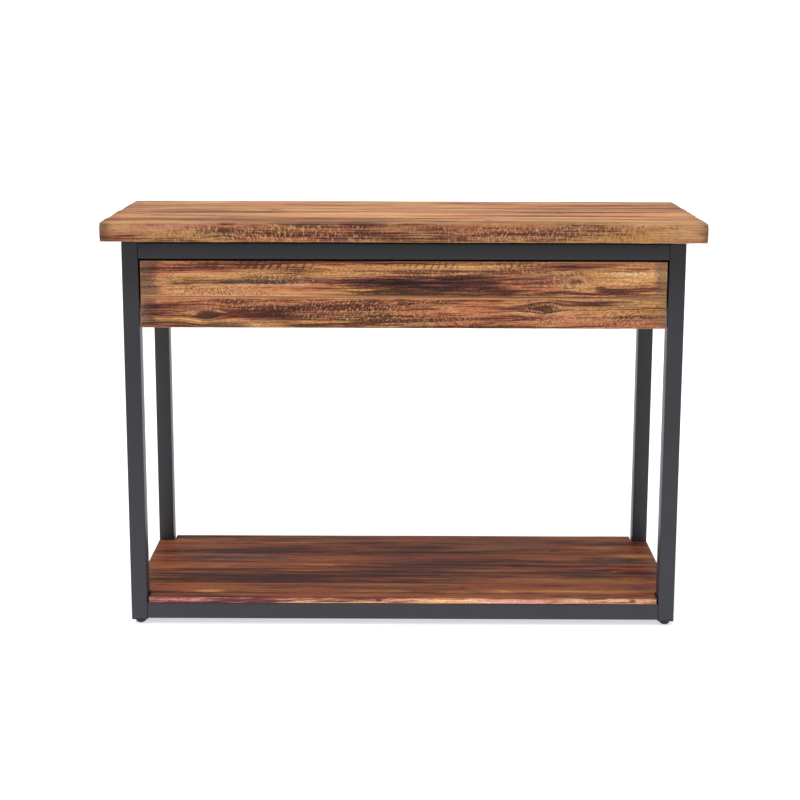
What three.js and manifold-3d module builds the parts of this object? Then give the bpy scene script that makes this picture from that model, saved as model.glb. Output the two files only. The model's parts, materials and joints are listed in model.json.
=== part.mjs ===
// A console table: a slab of six edge-glued boards on a bolted square-tube frame, with a low shelf
// and one wide drawer that hangs on ball-bearing slides under the front rail.
// Millimetres, +Z up, the drawer faces -Y, and the origin is on the floor under the table's centre.
import * as THREE from "three";
import { mergeVertices } from "three/addons/utils/BufferGeometryUtils.js";
import Module from "manifold-3d";

// ---- driving dimensions -------------------------------------------------------------------------
const tableLength = 1092;
const tableDepth = 356;
const tableHeight = 762;
const topThickness = 38;
const sideOverhang = 38; // slab past the frame, left and right
const frontOverhang = 6; // slab past the frame, front and rear

const tube = 30; // square tube, outside
const tubeWall = 1.5;
const tubeCorner = 2.5; // outside corner radius
const legClearance = 10; // leg's lower end above the floor, the height that the feet make
const railLift = 2; // bottom rails above the leg's lower end

const shelfThickness = 12;
const shelfNotchGap = 3; // space between a leg and the notch around it
const topBoardWidths = [62, 58, 60, 57, 61, 58]; // as ripped, front to rear; scaled to fill the depth
const shelfBoardWidths = [21, 53, 53, 57, 53, 50, 57];
const frontBoardWidths = [58, 66]; // drawer front, lower board then upper board

const drawerFrontHeight = 124;
const drawerFrontThickness = 20;
const drawerGap = 2.5; // reveal around the drawer front
const boxHeight = 90; // drawer box
const boxTopClearance = 14; // drawer box below the top rails
const boxWall = 12;
const boxRearClearance = 34; // drawer box to rear apron
const bottomPanel = 5;
const bottomRise = 10; // bottom panel above the box's lower edge
const grooveDepth = 6;

const slideHeight = 45;
const slideWidth = 12.7;
const slideSheet = 1.2;
const slideBallSpace = 3.2; // room for one row of balls between two members
const slideSetback = 4; // slide behind the drawer front's back face
const slideRearClearance = 50; // slide to rear apron
const webGap = 1; // between one member's web and the next member's web or flanges
const flangeGap = 0.5; // between a member's flanges and the web that they face

const apronThickness = 18;
const apronInset = 2; // apron's outer face behind the frame's outer face
const battenHeight = 70;
const slideStandoff = 0.5; // batten's face inside the legs' inner faces

const endPlate = 3; // welded into each end of a long rail
const boltDiameter = 6;
const boltClearance = 0.3; // all round the shank
const boltHeadDiameter = 14; // thin, wide head of a furniture connector bolt
const boltHeadHeight = 1.5;
const boltSocket = 4; // hex key size
const boltSocketDepth = 1.8;
const nutThickness = 5;
const nutFlats = 10;
const boltTip = 2; // shank past the nut
const bottomBoltRise = 4; // bottom bolts sit above the rail's middle, to leave room for the foot's stem

const plugLip = 1.5;
const plugLength = 12;
const plugCorner = 1;
const stemDiameter = 8;
const stemClearance = 0.2;
const stemBoltGap = 2.3; // from the foot's stem up to the bolt that crosses the leg
const padDiameter = 20;
const padFootDiameter = 11; // the ring that stands on the floor
const padStraight = 4; // cylindrical upper part of the pad
const footChamfer = 0.8;

const boardEase = 1.2; // radius on board edges that meet
const slabRound = 4; // radius on the slab's long outer edges
const shelfRound = 1.5;
const seatGap = 0.3; // left between two pieces that touch

// ---- places that follow from them -----------------------------------------------------------------
const frameLength = tableLength - 2 * sideOverhang;
const frameDepth = tableDepth - 2 * frontOverhang;
const halfLength = frameLength / 2;
const halfDepth = frameDepth / 2;
const legX = halfLength - tube / 2;
const legY = halfDepth - tube / 2;
const legInnerX = halfLength - tube;
const longRailLength = 2 * (legInnerX - seatGap);
const sideRailLength = frameDepth - 2 * tube - 2 * seatGap;

const slabBottom = tableHeight - topThickness;
const legBottom = legClearance + plugLip + seatGap;
const legTop = slabBottom - seatGap;
const topRailZ = slabBottom - seatGap - tube / 2;
const bottomRailZ = legClearance + railLift + tube / 2;
const shelfBottom = bottomRailZ + tube / 2 + seatGap;
const topBoltZ = topRailZ;
const bottomBoltZ = bottomRailZ + bottomBoltRise;
const padHeight = legClearance - seatGap;
const stemTop = bottomBoltZ - boltDiameter / 2 - stemBoltGap;

const openingTop = topRailZ - tube / 2; // underside of the top rails
const drawerFrontTop = openingTop - drawerGap;
const drawerFrontBottom = drawerFrontTop - drawerFrontHeight;
const drawerFrontLength = 2 * (legInnerX - drawerGap);
const frontBack = -halfDepth + drawerFrontThickness; // the drawer front's back face

const apronOuterX = halfLength - apronInset;
const apronInnerX = apronOuterX - apronThickness;
const rearApronFace = halfDepth - apronInset - apronThickness;
const battenFace = legInnerX - slideStandoff;
const slideFace = battenFace - seatGap; // cabinet side of the slide
const boxOuterX = slideFace - slideWidth - seatGap;
const boxTop = openingTop - boxTopClearance;
const boxBottom = boxTop - boxHeight;
const boxFront = frontBack + seatGap;
const boxRear = rearApronFace - boxRearClearance;
const boxLength = boxRear - boxFront;
const slideZ = boxBottom + boxHeight / 2;
const slideFlange = slideWidth - 2 * slideSheet - webGap - flangeGap; // flange width, over the web
const slideLength = rearApronFace - slideRearClearance - frontBack - slideSetback;
const slideY = frontBack + slideSetback + slideLength / 2;

// ---- materials ----------------------------------------------------------------------------------
function finish(color, roughness, metalness) {
  return new THREE.MeshStandardMaterial({ color, roughness, metalness });
}
const slabWood = finish(0xb98a63, 0.6, 0);
const shelfWood = finish(0x7a4a38, 0.6, 0);
const frontWood = finish(0x966a4a, 0.7, 0);
const apronWood = finish(0x8a5c40, 0.7, 0);
const boxWood = finish(0xc9a06c, 0.7, 0);
const plywood = finish(0xd0ad7c, 0.8, 0);
const paintedSteel = finish(0x45464a, 0.5, 0.2);
const zincSteel = finish(0xb8bcc2, 0.35, 0.9);
const blackScrew = finish(0x222224, 0.4, 0.7);
const blackPlastic = finish(0x18181a, 0.6, 0);

// ---- geometry helpers ---------------------------------------------------------------------------
const wasm = await Module();
wasm.setup();

function toSolid(geometry) {
  const bare = geometry.index ? geometry.toNonIndexed() : geometry.clone();
  bare.deleteAttribute("normal");
  bare.deleteAttribute("uv");
  const merged = mergeVertices(bare, 1e-4);
  const vertProperties = new Float32Array(merged.attributes.position.array);
  const triVerts = new Uint32Array(merged.index.array);
  return new wasm.Manifold(new wasm.Mesh({ numProp: 3, vertProperties, triVerts }));
}

function toGeometry(solid) {
  const mesh = solid.getMesh();
  const geometry = new THREE.BufferGeometry();
  geometry.setAttribute("position", new THREE.BufferAttribute(new Float32Array(mesh.vertProperties), 3));
  geometry.setIndex(new THREE.BufferAttribute(new Uint32Array(mesh.triVerts), 1));
  geometry.computeVertexNormals();
  return geometry;
}

function cut(geometry, ...cutters) {
  return toGeometry(cutters.reduce((solid, cutter) => solid.subtract(toSolid(cutter)), toSolid(geometry)));
}

function join(geometry, ...others) {
  return toGeometry(others.reduce((solid, other) => solid.add(toSolid(other)), toSolid(geometry)));
}

// A rectangle centred on the origin. Its corner radii go low-left, low-right, up-right, up-left.
function roundedRectangle(width, height, radii) {
  const [lowLeft, lowRight, upRight, upLeft] = radii;
  const x = width / 2;
  const y = height / 2;
  const shape = new THREE.Shape();
  shape.moveTo(-x + lowLeft, -y);
  shape.lineTo(x - lowRight, -y);
  if (lowRight > 0) shape.absarc(x - lowRight, -y + lowRight, lowRight, -Math.PI / 2, 0);
  shape.lineTo(x, y - upRight);
  if (upRight > 0) shape.absarc(x - upRight, y - upRight, upRight, 0, Math.PI / 2);
  shape.lineTo(-x + upLeft, y);
  if (upLeft > 0) shape.absarc(-x + upLeft, y - upLeft, upLeft, Math.PI / 2, Math.PI);
  shape.lineTo(-x, -y + lowLeft);
  if (lowLeft > 0) shape.absarc(-x + lowLeft, -y + lowLeft, lowLeft, Math.PI, 1.5 * Math.PI);
  return shape;
}

// Extrusions centred on the origin. Along X the section's axes become Y and Z, along Y they become Z and X.
const turnTo = {
  X: new THREE.Matrix4().set(0, 0, 1, 0, 1, 0, 0, 0, 0, 1, 0, 0, 0, 0, 0, 1),
  Y: new THREE.Matrix4().set(0, 1, 0, 0, 0, 0, 1, 0, 1, 0, 0, 0, 0, 0, 0, 1),
  Z: new THREE.Matrix4(),
};
function extrude(shape, length, axis, curveSegments = 3) {
  const geometry = new THREE.ExtrudeGeometry(shape, { depth: length, bevelEnabled: false, curveSegments });
  return geometry.translate(0, 0, -length / 2).applyMatrix4(turnTo[axis]);
}

function rod(diameter, length, axis, sides = 16) {
  const geometry = new THREE.CylinderGeometry(diameter / 2, diameter / 2, length, sides);
  return geometry.rotateX(Math.PI / 2).applyMatrix4(turnTo[axis]);
}

function squareSection(size, corner) {
  return roundedRectangle(size, size, [corner, corner, corner, corner]);
}

const table = new THREE.Group();
function add(name, geometry, material, x, y, z) {
  const mesh = new THREE.Mesh(geometry, material);
  mesh.name = name;
  mesh.position.set(x, y, z);
  table.add(mesh);
  return mesh;
}

const sides = [["left", -1], ["right", 1]];
const ends = [["front", -1], ["rear", 1]];

// ---- steel frame --------------------------------------------------------------------------------
const tubeSection = squareSection(tube, tubeCorner);
tubeSection.holes.push(squareSection(tube - 2 * tubeWall, Math.max(tubeCorner - tubeWall, 0)));
const boreSection = squareSection(tube - 2 * tubeWall, Math.max(tubeCorner - tubeWall, 0));
const boltHole = boltDiameter + 2 * boltClearance;

function leg() {
  const middle = (legTop + legBottom) / 2;
  const holes = [topBoltZ, bottomBoltZ].map((z) => rod(boltHole, 2 * tube, "X").translate(0, 0, z - middle));
  return cut(extrude(tubeSection, legTop - legBottom, "Z"), ...holes);
}

// A long rail is closed at each end by a plate, with a nut welded behind it for the bolt through the leg.
function longRail(boltRise) {
  const cavity = longRailLength - 2 * endPlate;
  const nutX = cavity / 2 - nutThickness / 2 + seatGap; // bites into the plate, as a weld does
  const nutRadius = nutFlats / Math.sqrt(3);
  const nut = rod(2 * nutRadius, nutThickness, "X", 6);
  const outside = extrude(squareSection(tube, tubeCorner), longRailLength, "X");
  const shell = cut(outside, extrude(boreSection, cavity, "X"));
  const nuts = [-nutX, nutX].map((x) => nut.clone().translate(x, 0, boltRise));
  return cut(join(shell, ...nuts), rod(boltHole, 2 * longRailLength, "X").translate(0, 0, boltRise));
}

for (const [end, towardsEnd] of ends) {
  const y = towardsEnd * legY;
  for (const [side, towardsSide] of sides) {
    add(`${end}_${side}_leg`, leg(), paintedSteel, towardsSide * legX, y, (legTop + legBottom) / 2);
  }
  add(`top_${end}_rail`, longRail(0), paintedSteel, 0, y, topRailZ);
  add(`bottom_${end}_rail`, longRail(bottomBoltRise), paintedSteel, 0, y, bottomRailZ);
}
for (const [side, towardsSide] of sides) {
  for (const [level, z] of [["top", topRailZ], ["bottom", bottomRailZ]]) {
    const rail = extrude(tubeSection, sideRailLength, "Y");
    add(`${level}_${side}_rail`, rail, paintedSteel, towardsSide * legX, 0, z);
  }
}

// Flat-head bolts run in from the legs' outer faces to the nuts in the long rails.
function frameBolt() {
  const radius = boltDiameter / 2;
  const headRadius = boltHeadDiameter / 2;
  const shank = tube + seatGap + endPlate + nutThickness + boltTip;
  const profile = new THREE.Path();
  profile.moveTo(0, -shank);
  profile.lineTo(radius, -shank);
  profile.lineTo(radius, 0);
  profile.lineTo(headRadius, 0);
  profile.lineTo(headRadius, boltHeadHeight * 0.3);
  profile.quadraticCurveTo(headRadius * 0.9, boltHeadHeight, headRadius * 0.5, boltHeadHeight);
  profile.lineTo(0, boltHeadHeight);
  const bolt = new THREE.LatheGeometry(profile.getPoints(4), 18).rotateX(Math.PI / 2);
  const socket = rod((2 * boltSocket) / Math.sqrt(3), 2 * boltSocketDepth, "Z", 6);
  return cut(bolt, socket.translate(0, 0, boltHeadHeight));
}
for (const [end, towardsEnd] of ends) {
  for (const [side, towardsSide] of sides) {
    for (const [level, z] of [["top", topBoltZ], ["bottom", bottomBoltZ]]) {
      const x = towardsSide * (halfLength + seatGap);
      const bolt = add(`${level}_${end}_${side}_bolt`, frameBolt(), blackScrew, x, towardsEnd * legY, z);
      bolt.rotation.y = (towardsSide * Math.PI) / 2;
    }
  }
}

// ---- feet ---------------------------------------------------------------------------------------
// A plastic plug fills the end of the leg, and the levelling foot's stem screws up through it.
function legPlug() {
  const bodyWidth = tube - 2 * tubeWall - 2 * seatGap;
  const bodyZ = plugLip + plugLength / 2 - seatGap; // the body bites into the lip
  const lip = extrude(squareSection(tube, tubeCorner), plugLip, "Z").translate(0, 0, plugLip / 2);
  const body = extrude(squareSection(bodyWidth, plugCorner), plugLength, "Z").translate(0, 0, bodyZ);
  return cut(join(lip, body), rod(stemDiameter + 2 * stemClearance, 4 * plugLength, "Z", 24));
}

function levellingFoot() {
  const flareTop = padHeight - padStraight;
  const padRadius = padDiameter / 2;
  const stemRadius = stemDiameter / 2;
  const profile = new THREE.Path();
  profile.moveTo(0, 0);
  profile.lineTo(padFootDiameter / 2, 0);
  profile.quadraticCurveTo(padRadius, flareTop * 0.4, padRadius, flareTop);
  profile.lineTo(padRadius, padHeight - footChamfer);
  profile.lineTo(padRadius - footChamfer, padHeight);
  profile.lineTo(stemRadius, padHeight);
  profile.lineTo(stemRadius, stemTop - footChamfer);
  profile.lineTo(stemRadius - footChamfer, stemTop);
  profile.lineTo(0, stemTop);
  return new THREE.LatheGeometry(profile.getPoints(4), 24).rotateX(Math.PI / 2);
}

for (const [end, towardsEnd] of ends) {
  for (const [side, towardsSide] of sides) {
    const x = towardsSide * legX;
    const y = towardsEnd * legY;
    add(`${end}_${side}_leg_plug`, legPlug(), blackPlastic, x, y, legClearance);
    add(`${end}_${side}_levelling_foot`, levellingFoot(), blackPlastic, x, y, 0);
  }
}

// ---- boards -------------------------------------------------------------------------------------
// Splits a span into boards in proportion to their ripped widths, with a glue line between neighbours.
function ripBoards(widths, span) {
  const total = widths.reduce((sum, width) => sum + width, 0);
  const usable = span - seatGap * (widths.length - 1);
  let start = -span / 2;
  return widths.map((share) => {
    const width = (usable * share) / total;
    const middle = start + width / 2;
    start += width + seatGap;
    return { width, middle };
  });
}

// The slab: only the first and last boards have a rounded outer edge, top and bottom.
const slabBoards = ripBoards(topBoardWidths, tableDepth);
slabBoards.forEach(({ width, middle }, index) => {
  const front = index === 0 ? slabRound : boardEase;
  const rear = index === slabBoards.length - 1 ? slabRound : boardEase;
  const section = roundedRectangle(width, topThickness, [front, rear, rear, front]);
  const board = extrude(section, tableLength, "X");
  add(`tabletop_board_${index + 1}`, board, slabWood, 0, middle, slabBottom + topThickness / 2);
});

// The shelf lies on the bottom rails and is notched around the legs.
const notchReach = tube + shelfNotchGap;
const notch = new THREE.BoxGeometry(2 * notchReach, 2 * notchReach, 4 * shelfThickness);
const shelfBoards = ripBoards(shelfBoardWidths, frameDepth);
shelfBoards.forEach(({ width, middle }, index) => {
  const front = index === 0 ? shelfRound : boardEase / 2;
  const rear = index === shelfBoards.length - 1 ? shelfRound : boardEase / 2;
  const section = roundedRectangle(width, shelfThickness, [front / 2, rear / 2, rear, front]);
  const notches = [];
  for (const x of [-halfLength, halfLength]) {
    for (const y of [-halfDepth, halfDepth]) {
      if (Math.abs(y - middle) < notchReach + width / 2) {
        notches.push(notch.clone().translate(x, y - middle, 0));
      }
    }
  }
  const board = cut(extrude(section, frameLength, "X"), ...notches);
  add(`shelf_board_${index + 1}`, board, shelfWood, 0, middle, shelfBottom + shelfThickness / 2);
});

// Aprons close the sides and the rear under the top rails, and battens on the side aprons carry the slides.
const apronHeight = drawerFrontHeight + drawerGap - seatGap;
const apronZ = openingTop - seatGap - apronHeight / 2;
const apronEdges = [boardEase, boardEase, boardEase, boardEase];
for (const [side, towardsSide] of sides) {
  const apron = extrude(roundedRectangle(apronHeight, apronThickness, apronEdges), sideRailLength, "Y");
  add(`${side}_apron`, apron, apronWood, (towardsSide * (apronOuterX + apronInnerX)) / 2, 0, apronZ);
  const battenThickness = apronInnerX - seatGap - battenFace;
  const batten = new THREE.BoxGeometry(battenThickness, sideRailLength, battenHeight);
  add(`${side}_runner_batten`, batten, boxWood, towardsSide * (battenFace + battenThickness / 2), 0, slideZ);
}
const rearApron = extrude(roundedRectangle(apronThickness, apronHeight, apronEdges), longRailLength, "X");
add("rear_apron", rearApron, apronWood, 0, rearApronFace + apronThickness / 2, apronZ);

// ---- drawer -------------------------------------------------------------------------------------
const drawerFrontNames = ["drawer_front_lower_board", "drawer_front_upper_board"];
ripBoards(frontBoardWidths, drawerFrontHeight).forEach(({ width, middle }, index) => {
  const low = index === 0 ? shelfRound : boardEase / 2;
  const high = index === 0 ? boardEase / 2 : shelfRound;
  const section = roundedRectangle(drawerFrontThickness, width, [low, low, high, high]);
  const board = extrude(section, drawerFrontLength, "X");
  const z = (drawerFrontTop + drawerFrontBottom) / 2 + middle;
  add(drawerFrontNames[index], board, frontWood, 0, (frontBack - halfDepth) / 2, z);
});

// The box's front and back sit between its sides, and a groove all round takes the bottom panel.
const boxY = boxFront + boxLength / 2;
const boxZ = boxBottom + boxHeight / 2;
const boxInnerX = boxOuterX - boxWall;
const crossLength = 2 * (boxInnerX - seatGap);
const grooveHeight = bottomPanel + 2 * seatGap;
const grooveShift = boxWall - grooveDepth;
const grooveZ = boxBottom + bottomRise + bottomPanel / 2 - boxZ;

function boxPanel(x, y, grooveX, grooveY) {
  const groove = new THREE.BoxGeometry(x, y, grooveHeight).translate(grooveX, grooveY, grooveZ);
  return cut(new THREE.BoxGeometry(x, y, boxHeight), groove);
}
for (const [side, towardsSide] of sides) {
  const panel = boxPanel(boxWall, boxLength, -towardsSide * grooveShift, 0);
  add(`drawer_${side}_side`, panel, boxWood, towardsSide * (boxOuterX - boxWall / 2), boxY, boxZ);
}
const boxFrontPanel = boxPanel(crossLength, boxWall, 0, grooveShift);
add("drawer_box_front", boxFrontPanel, boxWood, 0, boxFront + boxWall / 2, boxZ);
const boxBackPanel = boxPanel(crossLength, boxWall, 0, -grooveShift);
add("drawer_box_back", boxBackPanel, boxWood, 0, boxRear - boxWall / 2, boxZ);
const panelReach = grooveDepth - seatGap;
const panelLength = 2 * (boxInnerX + panelReach);
const panelDepth = boxLength - 2 * boxWall + 2 * panelReach;
const bottomGeometry = new THREE.BoxGeometry(panelLength, panelDepth, bottomPanel);
add("drawer_bottom", bottomGeometry, plywood, 0, boxY, boxZ + grooveZ);

// ---- drawer slides ------------------------------------------------------------------------------
// Each member is a folded channel, with its web at webAt across the slide and its flanges towards flangeTo.
function channel(height, webAt, flangeTo) {
  const towards = Math.sign(flangeTo - webAt);
  const inner = webAt + towards * slideSheet;
  const high = height / 2;
  const low = high - slideSheet;
  const shape = new THREE.Shape();
  shape.moveTo(high, webAt);
  shape.lineTo(high, flangeTo);
  shape.lineTo(low, flangeTo);
  shape.lineTo(low, inner);
  shape.lineTo(-low, inner);
  shape.lineTo(-low, flangeTo);
  shape.lineTo(-high, flangeTo);
  shape.lineTo(-high, webAt);
  return extrude(shape, slideLength, "Y");
}
const middleHeight = slideHeight - 2 * (slideSheet + slideBallSpace);
const innerHeight = middleHeight - 2 * (slideSheet + slideBallSpace);
const middleWeb = slideSheet + webGap;
for (const [side, towardsSide] of sides) {
  const across = (distance) => towardsSide * (slideFace - distance);
  const member = (height, from, to) => channel(height, across(from), across(to));
  const outer = member(slideHeight, 0, slideFlange);
  const middle = member(middleHeight, middleWeb, middleWeb + slideFlange);
  const inner = member(innerHeight, slideWidth, middleWeb + slideSheet + webGap);
  add(`${side}_slide_outer_member`, outer, zincSteel, 0, slideY, slideZ);
  add(`${side}_slide_middle_member`, middle, zincSteel, 0, slideY, slideZ);
  add(`${side}_slide_inner_member`, inner, zincSteel, 0, slideY, slideZ);
}

export default table;
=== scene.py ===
import json
import math
import random

import bmesh
import bpy
from bpy.props import FloatProperty, FloatVectorProperty, IntProperty, PointerProperty
from mathutils import Matrix, Vector


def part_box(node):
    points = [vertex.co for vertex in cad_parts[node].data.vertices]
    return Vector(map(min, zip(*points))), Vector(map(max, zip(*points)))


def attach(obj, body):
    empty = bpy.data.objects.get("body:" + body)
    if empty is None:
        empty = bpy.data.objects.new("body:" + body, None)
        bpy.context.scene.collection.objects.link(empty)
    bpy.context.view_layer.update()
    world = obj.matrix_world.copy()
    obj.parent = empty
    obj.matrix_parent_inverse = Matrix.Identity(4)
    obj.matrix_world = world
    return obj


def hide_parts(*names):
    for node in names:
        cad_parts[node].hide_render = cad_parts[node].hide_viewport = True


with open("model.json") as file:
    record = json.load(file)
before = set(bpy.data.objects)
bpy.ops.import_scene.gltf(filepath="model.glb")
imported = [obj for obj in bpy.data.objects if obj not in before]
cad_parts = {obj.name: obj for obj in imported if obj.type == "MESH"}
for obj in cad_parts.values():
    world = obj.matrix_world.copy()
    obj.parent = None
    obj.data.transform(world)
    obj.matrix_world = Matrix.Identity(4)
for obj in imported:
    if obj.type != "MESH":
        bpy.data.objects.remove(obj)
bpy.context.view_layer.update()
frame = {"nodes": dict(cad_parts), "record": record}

bl_info = {
    "name": "Plank Console Table",
    "version": (1, 0, 0),
    "blender": (4, 5, 0),
    "location": "View3D > Sidebar > Console Table",
    "description": "Dresses a console table's frame with worn planks, painted tube, a drawer and a studio",
    "category": "Object",
}

MM = 0.001
TURN = 2 * math.pi
HAIR = 0.02 * MM  # places closer than this are the same place
GLUE_LINE = 0.15 * MM  # half of the gap that the solids keep between glued boards
NOTCH = 33 * MM  # shelf corner cut away round a leg
HALF_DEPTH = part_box("shelf_board_7")[1].y
SIDES = ("left", "right")
CORNERS = [f"{end}_{side}" for end in ("front", "rear") for side in SIDES]
LOW, HIGH = -1, 1
CLOUD_TOP = 1.1  # a displacement texture's highest value, so that it only ever sinks a surface
EDGE_BAND = 25  # a band on a front edge stops at the arris if its half width in millimetres is less
STRAIGHT = 0.9999  # least share of its length that an edge along an axis covers on that axis
MOST_CUTS = 60  # cuts that one subdivision makes, past which it is done in two rounds
SCOOP_SIZE, KNOCK_SIZE = (0.24, 0.035), (0.028, 0.014)  # a hollow's length along the grain and across it
SMOOTH_BELOW = math.radians(35)  # faces that meet at less than this are shaded as one surface
RING_GAP = 4.6 * MM  # from one growth ring to the next
KNOCK = 0.4 * MM  # depth of the knocks on the drawer front and the aprons
FULL_BOARD = 3  # the slab board that isn't cut back, so that the slab keeps its length
SCREW_PLACES = ((0.15, 0.3), (0.38, 0.72), (0.62, 0.3), (0.85, 0.72))  # shares across and up the box front
SCREW_RADIUS, SCREW_HEIGHT = 4 * MM, 2.2 * MM
FLOOR_SIDE = 60
SUN_TURN = (math.radians(20), math.radians(-12), 0)
SUN_WIDTH = math.radians(70)


# ---- settings that a user would change ----


def tint(name, description, rgb):
    return FloatVectorProperty(name=name, description=description, default=rgb, min=0, max=1, subtype="COLOR")


def span(name, description, metres):
    return FloatProperty(
        name=name, description=description, default=metres, min=0, unit="LENGTH", subtype="DISTANCE"
    )


def share(name, description, value):
    return FloatProperty(name=name, description=description, default=value, min=0, max=1, subtype="FACTOR")


def turn(name, description, radians):
    return FloatProperty(name=name, description=description, default=radians, subtype="ANGLE")


def power(name, description, value):
    return FloatProperty(name=name, description=description, default=value, min=0)


class TABLE_PG_wood(bpy.types.PropertyGroup):
    """The boards' worn shapes and their stains."""

    slab_round: span("Slab Edge Radius", "Worn radius on the slab's long outer edges", 3 * MM)
    thin_round: span("Thin Board Radius", "Outer edge radius of the shelf and the drawer front", 1.6 * MM)
    seam_ease: span("Seam Ease", "Radius on board edges that meet in a seam", 1.1 * MM)
    end_ease: span("End Ease", "Radius on the boards' sawn ends", 2 * MM)
    end_stagger: span("End Stagger", "Most that a board's end stands back from its neighbours", 1.6 * MM)
    scoop: span("Scoop Depth", "Depth of the long hollows that planing leaves", 0.8 * MM)
    nibble: span("Arris Wear", "Depth of the knocks along the slab's arrises", 1.4 * MM)
    cell: span("Mesh Cell", "Spacing of the cuts across the boards", 6 * MM)
    seed: IntProperty(name="Seed", description="Start of the boards' random draws", default=11, min=0)
    slab_tint: tint("Slab", "Commonest colour of the slab", (0.485, 0.248, 0.112))
    shelf_tint: tint("Shelf", "Commonest colour of the shelf", (0.225, 0.068, 0.025))
    front_tint: tint("Drawer Front", "Commonest colour of the drawer front", (0.47, 0.226, 0.101))


class TABLE_PG_steel(bpy.types.PropertyGroup):
    """The frame's tube and its paint."""

    corner: span("Corner Radius", "Outside corner radius of the square tube", 2.5 * MM)
    wall: span("Wall", "Wall thickness of the square tube", 1.5 * MM)
    paint: tint("Paint", "Powder coat", (0.0215, 0.0203, 0.0262))
    gloss: share("Roughness", "Roughness of the powder coat", 0.42)


class TABLE_PG_stage(bpy.types.PropertyGroup):
    """The studio and the camera."""

    lens: FloatProperty(name="Lens", description="Focal length in millimetres", default=64.4, min=20)
    aside: span("Aside", "Camera to the right of the table's centre", 2 * MM)
    distance: span("Distance", "Camera in front of the table's centre", 2.715)
    height: span("Height", "Camera above the floor", 1.082)
    dip: turn("Dip", "How far the camera looks down", math.radians(9.33))
    aim: turn("Aim", "Camera's turn to the left", 0.0033)
    roll: turn("Roll", "Camera's roll", 0.0025)
    shift: FloatProperty(name="Shift", description="Vertical lens shift, in frame widths", default=-0.155)
    sky: power("Sky", "Strength of the light from all round", 0.6)
    overhead: power("Overhead", "Strength of the soft overhead light", 2.7)


# ---- shader maths ----


class Value:
    """A socket that works in sums, so that a shader reads as a formula."""

    def __init__(self, shader, socket):
        self.shader = shader
        self.socket = socket

    def __add__(self, other):
        return self.shader.math("ADD", self, other)

    __radd__ = __add__

    def __sub__(self, other):
        return self.shader.math("SUBTRACT", self, other)

    def __rsub__(self, other):
        return self.shader.math("SUBTRACT", other, self)

    def __mul__(self, other):
        return self.shader.math("MULTIPLY", self, other)

    __rmul__ = __mul__

    def __abs__(self):
        return self.shader.math("ABSOLUTE", self)


class Shader:
    """The nodes of one material or world. Every one of them comes from node()."""

    def __init__(self, owner):
        owner.use_nodes = True
        self.owner = owner
        self.tree = owner.node_tree
        self.tree.nodes.clear()

    def node(self, kind, settings=None, inputs=None, output=0):
        made = self.tree.nodes.new(kind)
        for key, setting in (settings or {}).items():
            if key == "stops":
                self.set_stops(made.color_ramp, setting)
            else:
                setattr(made, key, setting)
        for key, given in (inputs or {}).items():
            self.feed(made.inputs[key], given)
        return None if output is None else Value(self, made.outputs[output])

    def feed(self, socket, given):
        if isinstance(given, Value):
            self.tree.links.new(given.socket, socket)
        elif socket.type == "RGBA":
            socket.default_value = (*given, 1)
        else:
            socket.default_value = given

    @staticmethod
    def set_stops(ramp, stops):
        while len(ramp.elements) < len(stops):
            ramp.elements.new(1)
        for element, (place, colour) in zip(ramp.elements, stops):
            element.position = place
            element.color = (*colour, 1)

    def math(self, operation, first, second=0.0):
        return self.node("ShaderNodeMath", {"operation": operation}, {0: first, 1: second})

    def step(self, value, start, end):
        """0 at start, 1 at end and smooth between. End may be the lower of the two."""
        rising = start < end
        reach = {"From Min": min(start, end), "From Max": max(start, end)}
        result = {"To Min": 0.0 if rising else 1.0, "To Max": 1.0 if rising else 0.0}
        settings = {"interpolation_type": "SMOOTHSTEP"}
        return self.node("ShaderNodeMapRange", settings, {"Value": value, **reach, **result})

    def split(self, vector):
        return [self.node("ShaderNodeSeparateXYZ", inputs={0: vector}, output=axis) for axis in range(3)]

    def place(self):
        """The point on the piece, in metres."""
        return self.split(self.node("ShaderNodeTexCoord", output="Object"))

    def facing(self):
        """The surface's outward direction on the piece."""
        return self.split(self.node("ShaderNodeTexCoord", output="Normal"))

    def vector(self, x, y, z):
        return self.node("ShaderNodeCombineXYZ", inputs={0: x, 1: y, 2: z})

    def noise(self, x, y, z, detail=2.0, roughness=0.5):
        sockets = {"Vector": self.vector(x, y, z), "Scale": 1.0, "Detail": detail, "Roughness": roughness}
        return self.node("ShaderNodeTexNoise", inputs=sockets)

    def even_noise(self, point, scale, detail=2.0, roughness=0.5):
        """Noise of one size in every direction."""
        return self.noise(*[axis * scale for axis in point], detail, roughness)

    def spots(self, x, y, z):
        """Distance to the nearest of scattered points."""
        return self.node("ShaderNodeTexVoronoi", inputs={"Vector": self.vector(x, y, z), "Scale": 1.0})

    def ramp(self, value, stops):
        return self.node("ShaderNodeValToRGB", {"stops": stops}, {0: value})

    def mix(self, first, second, amount, blend="MIX"):
        settings = {"data_type": "RGBA", "clamp_factor": True, "blend_type": blend}
        return self.node("ShaderNodeMix", settings, {0: amount, 6: first, 7: second}, output=2)

    def bump(self, height, distance, strength):
        sockets = {"Height": height, "Distance": distance, "Strength": strength}
        return self.node("ShaderNodeBump", inputs=sockets)

    def finish(self, sockets):
        surface = self.node("ShaderNodeBsdfPrincipled", inputs=sockets)
        self.node("ShaderNodeOutputMaterial", inputs={"Surface": surface}, output=None)
        return self.owner


# ---- wood ----


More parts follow.
